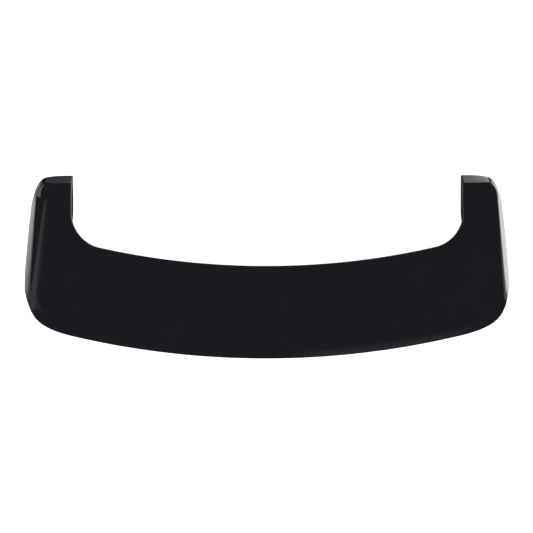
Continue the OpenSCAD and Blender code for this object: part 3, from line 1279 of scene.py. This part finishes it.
@dataclass(frozen=True)
class MirroredRoom:
    """What gloss mirrors: radiance of the room by direction.

    The ceiling is dark. The front wall brightens to the right, by e to the power of growth
    times X, but stops from hold to resume, and beyond full. The floor brightens away from
    the part by a power of X, a higher one on its left. edge shows in the right half of the
    trailing edge, panel in the left shoulder and lamp in the left rear corner.
    """

    growth: float = 5.8
    hold: float = -0.06
    resume: Span = (0.07, 0.125)
    full: float = 0.30
    left_power: int = 4
    right_power: int = 2
    ceiling: Patch = Patch((0.050, 0.052, 0.070), (Limit(UPWARD, -0.1, 0.2),))
    front_left: Patch = Patch((1.06, 1.08, 1.25), (
        *FRONT_WALL, Limit(TO_RIGHT, 0.05, -0.05)))
    front_right: Patch = Patch((1.10, 1.06, 1.04), (
        *FRONT_WALL, Limit(TO_RIGHT, -0.05, 0.05)))
    floor_left: Patch = Patch((6.9, 7.0, 6.5), (
        Limit(TO_FRONT, -0.60, -0.30), Limit(UPWARD, -0.45, -0.65)))
    floor_right: Patch = Patch((6.5, 6.5, 6.3), (
        Limit(TO_FRONT, -0.60, -0.30), Limit(TO_FRONT, 0.60, 0.50),
        Limit(UPWARD, -0.25, -0.50), Limit(UPWARD, -0.97, -0.91)))
    rear: Patch = Patch((0.80, 0.80, 0.80), (
        Limit(TO_FRONT, -0.3, -0.6), Limit(UPWARD, -0.8, -0.6), Limit(UPWARD, 0.5, 0.1)))
    side: Patch = Patch((1.20, 1.20, 1.25), (
        Limit(TO_RIGHT, 0.54, 0.62), Limit(UPWARD, -0.2, 0.0), Limit(UPWARD, 0.79, 0.72)))
    corner: Patch = Patch((0.62, 0.50, 0.45), (
        Limit(TO_RIGHT, 0.30, 0.45), Limit(TO_FRONT, 0.50, 0.60), Limit(UPWARD, 0.0, -0.1)))
    edge: Patch = Patch((0.26, 0.25, 0.26), (
        Limit(TO_RIGHT, 0.02, 0.10), Limit(TO_RIGHT, 0.27, 0.21),
        Limit(TO_FRONT, 0.27, -0.03), Limit(UPWARD, 0.6, 0.8)))
    panel: Patch = Patch((0.62, 0.60, 0.57), (
        Limit((-1.0, 0.156, 0.0), 0.1945, 0.1985), Limit((-1.0, 9.0, 0.0), 3.34, 3.22),
        Limit((-0.56, 1.0, 0.0), 0.355, 0.41), Limit(UPWARD, 0.55, 0.65)))
    lamp: Patch = Patch((2.50, 2.25, 1.85), (
        Limit(TO_LEFT, 0.35, 0.38), Limit(TO_LEFT, 0.66, 0.60),
        Limit(TO_FRONT, 0.375, 0.400), Limit(TO_FRONT, 0.64, 0.56),
        Limit(UPWARD, 0.45, 0.55)))

    def wall_swell(self, x: Wire) -> Wire:
        """Brightness of the front wall: a power of e that is held for a stretch.

        Args:
            x: how far to the right the ray points.

        Returns:
            What the wall's tints are multiplied by.
        """
        before = (x.least(self.hold) * self.growth).exponent()
        after = (x.most(self.hold).least(self.full) * self.growth).exponent()
        return before + (after - math.exp(self.hold * self.growth)) * x.step(*self.resume)

    def radiance(self, g: Graph) -> Wire:
        """Sum of the patches of the room.

        Args:
            g: tree of the world.

        Returns:
            The radiance in the direction of the ray.
        """
        ray = g.out("ShaderNodeTexCoord", key="Generated")
        right, left = ray.along(TO_RIGHT), ray.along(TO_LEFT)
        wall = self.wall_swell(right)
        lights = [self.front_left.light(ray, wall), self.front_right.light(ray, wall),
                  self.floor_left.light(ray, left.most(0) ** self.left_power),
                  self.floor_right.light(ray, right.most(0) ** self.right_power)]
        even = (self.ceiling, self.rear, self.side, self.corner, self.edge, self.panel,
                self.lamp)
        return g.added(lights + [patch.light(ray) for patch in even])


@dataclass(frozen=True)
class Studio:
    """White room with a dark ceiling, which the gloss black top mirrors.

    The floor lies floor_drop below the part. ambient is the room's light on all but gloss,
    and backdrop is what the camera sees behind the floor.
    """

    floor_half: float = 9.0
    floor_drop: float = 0.0004
    ambient: Colour = (0.80, 0.80, 0.80, 1.0)
    backdrop: Colour = (1.0, 1.0, 1.0, 1.0)
    room: MirroredRoom = MirroredRoom()
    target: Point = (0.0, -0.1, 0.04)
    lamps: tuple[Lamp, ...] = (
        Lamp("lamp_left", (-3.4, -0.6, 2.2), (1.6, 1.6), 60.0),
        Lamp("lamp_right", (3.4, 0.2, 2.0), (1.6, 1.6), 60.0),
        Lamp("lamp_rear", (0.4, -3.6, 2.6), (2.4, 1.2), 60.0),
    )

    def build(self) -> list[str]:
        """Makes the floor, the lamps and the world.

        Returns:
            The names of the floor and the lamps.
        """
        half = self.floor_half
        corners = np.array([[-half, -half], [half, -half], [half, half], [-half, half]])
        count = len(corners)
        points = np.concatenate([corners, np.full((count, 1), -self.floor_drop)], axis=1)
        floor = make_object("studio_floor", points, [np.arange(count)[None, :]])
        floor.data.materials.append(PaleFloor().material())
        floor.visible_glossy = False
        self.world()
        return [floor.name] + [lamp.make(self.target).name for lamp in self.lamps]

    def world(self) -> None:
        """White to the camera, even to matt surfaces, and a mirrored room to gloss."""
        world = bpy.data.worlds.new("studio_world")
        world.use_nodes = True
        bpy.context.scene.world = world
        g = Graph(world.node_tree)
        camera, glossy = (g.out("ShaderNodeLightPath", key=kind)
                          for kind in ("Is Camera Ray", "Is Glossy Ray"))
        colour = g.blend(glossy, self.ambient, self.room.radiance(g))
        colour = g.blend(camera, colour, self.backdrop)
        sky = g.out("ShaderNodeBackground", inputs={"Color": colour, "Strength": 1.0})
        g.node("ShaderNodeOutputWorld", inputs={"Surface": sky})


# Sub-assemblies


@dataclass(frozen=True)
class SpoilerBody:
    """The moulding at a fine pitch, with its holes and recesses cut.

    It is the object named piece and stands in for the solid named node. An edge is drawn
    sharp from the angle crisp, in radians.
    """

    form: Moulding
    fixing: Fixing
    piece: str = "moulding"
    node: str = "spoiler_body"
    crisp: float = math.radians(32)

    def build(self) -> bpy.types.Object:
        """Makes, cuts and dresses the moulding, in place of its solid.

        Returns:
            The finished object.
        """
        low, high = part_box(self.node)
        points, faces = self.form.skin()
        body = make_object(self.piece, np.clip(points, np.array(low), np.array(high)), faces)
        self.cut(body)
        body.data.shade_smooth()
        body.data.set_sharp_from_angle(angle=self.crisp)
        even = body.modifiers.new("even_shading", "WEIGHTED_NORMAL")
        even.keep_sharp = True
        body.data.materials.clear()
        body.data.materials.append(GlossBlack().material())
        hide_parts(self.node)
        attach(body, "root")
        return body

    def cut(self, body: bpy.types.Object) -> None:
        """Takes all holes and recesses out of the body in one Boolean.

        Args:
            body: the object to cut.
        """
        skins = self.fixing.pockets(self.form)
        offsets = np.cumsum([0] + [len(points) for points, _ in skins])
        points = np.concatenate([points for points, _ in skins])
        faces = [face + offset for (_, group), offset in zip(skins, offsets)
                 for face in group]
        tool = make_object("pocket_tool", points, faces)
        cut = body.modifiers.new("pockets", "BOOLEAN")
        cut.operation = "DIFFERENCE"
        cut.solver = "EXACT"
        cut.object = tool
        graph = bpy.context.evaluated_depsgraph_get()
        carved = bpy.data.meshes.new_from_object(body.evaluated_get(graph))
        body.modifiers.clear()
        body.data = carved
        bpy.data.objects.remove(tool)


@dataclass(frozen=True)
class FixingSet:
    """Threaded inserts, sealing washers and tape strips: solids that get a finish."""

    form: Moulding
    fixing: Fixing
    # Each foam's dark colour is the painted shade inside its pores
    washer: CellFoam = CellFoam("washer_foam", light=(0.030, 0.030, 0.032, 1.0),
                                dark=(0.010, 0.010, 0.011, 1.0))
    tape: CellFoam = CellFoam("tape_foam", light=(0.180, 0.186, 0.195, 1.0),
                              dark=(0.105, 0.109, 0.116, 1.0), cells=2600.0,
                              depth=0.00010, rough=0.62)

    def dress(self) -> list[str]:
        """Gives every solid of the set its material.

        Returns:
            The names of the solids.
        """
        brass = TurnedBrass(self.form.fix_x * MM, self.form.fix_span_y / 2 * MM,
                            self.fixing.thread_r * MM, self.fixing.insert_r * MM)
        finishes = {Fitting.INSERT: brass, Fitting.WASHER: self.washer,
                    Fitting.TAPE: self.tape}
        dressed = []
        for kind, finish in finishes.items():
            material = finish.material()
            for name, obj in sorted(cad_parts.items()):
                if name.startswith(kind.value):
                    obj.data.materials.clear()
                    obj.data.materials.append(material)
                    dressed.append(name)
        return dressed


def main() -> None:
    """Builds the camera, the studio and the part, and logs each piece."""
    logging.basicConfig(level=logging.INFO, format="%(name)s: %(message)s")
    bpy.context.scene.view_settings.view_transform = "Standard"
    camera = PhotoCamera().make()
    LOG.info("camera %s, lens %.1f mm", camera.name, camera.data.lens)
    for name in Studio().build():
        LOG.info("studio %s", name)
    form, fixing = Moulding(), Fixing()
    body = SpoilerBody(form, fixing).build()
    LOG.info("piece %s: %d faces", body.name, len(body.data.polygons))
    for name in FixingSet(form, fixing).dress():
        LOG.info("solid %s dressed", name)


if __name__ == "__main__":
    main()
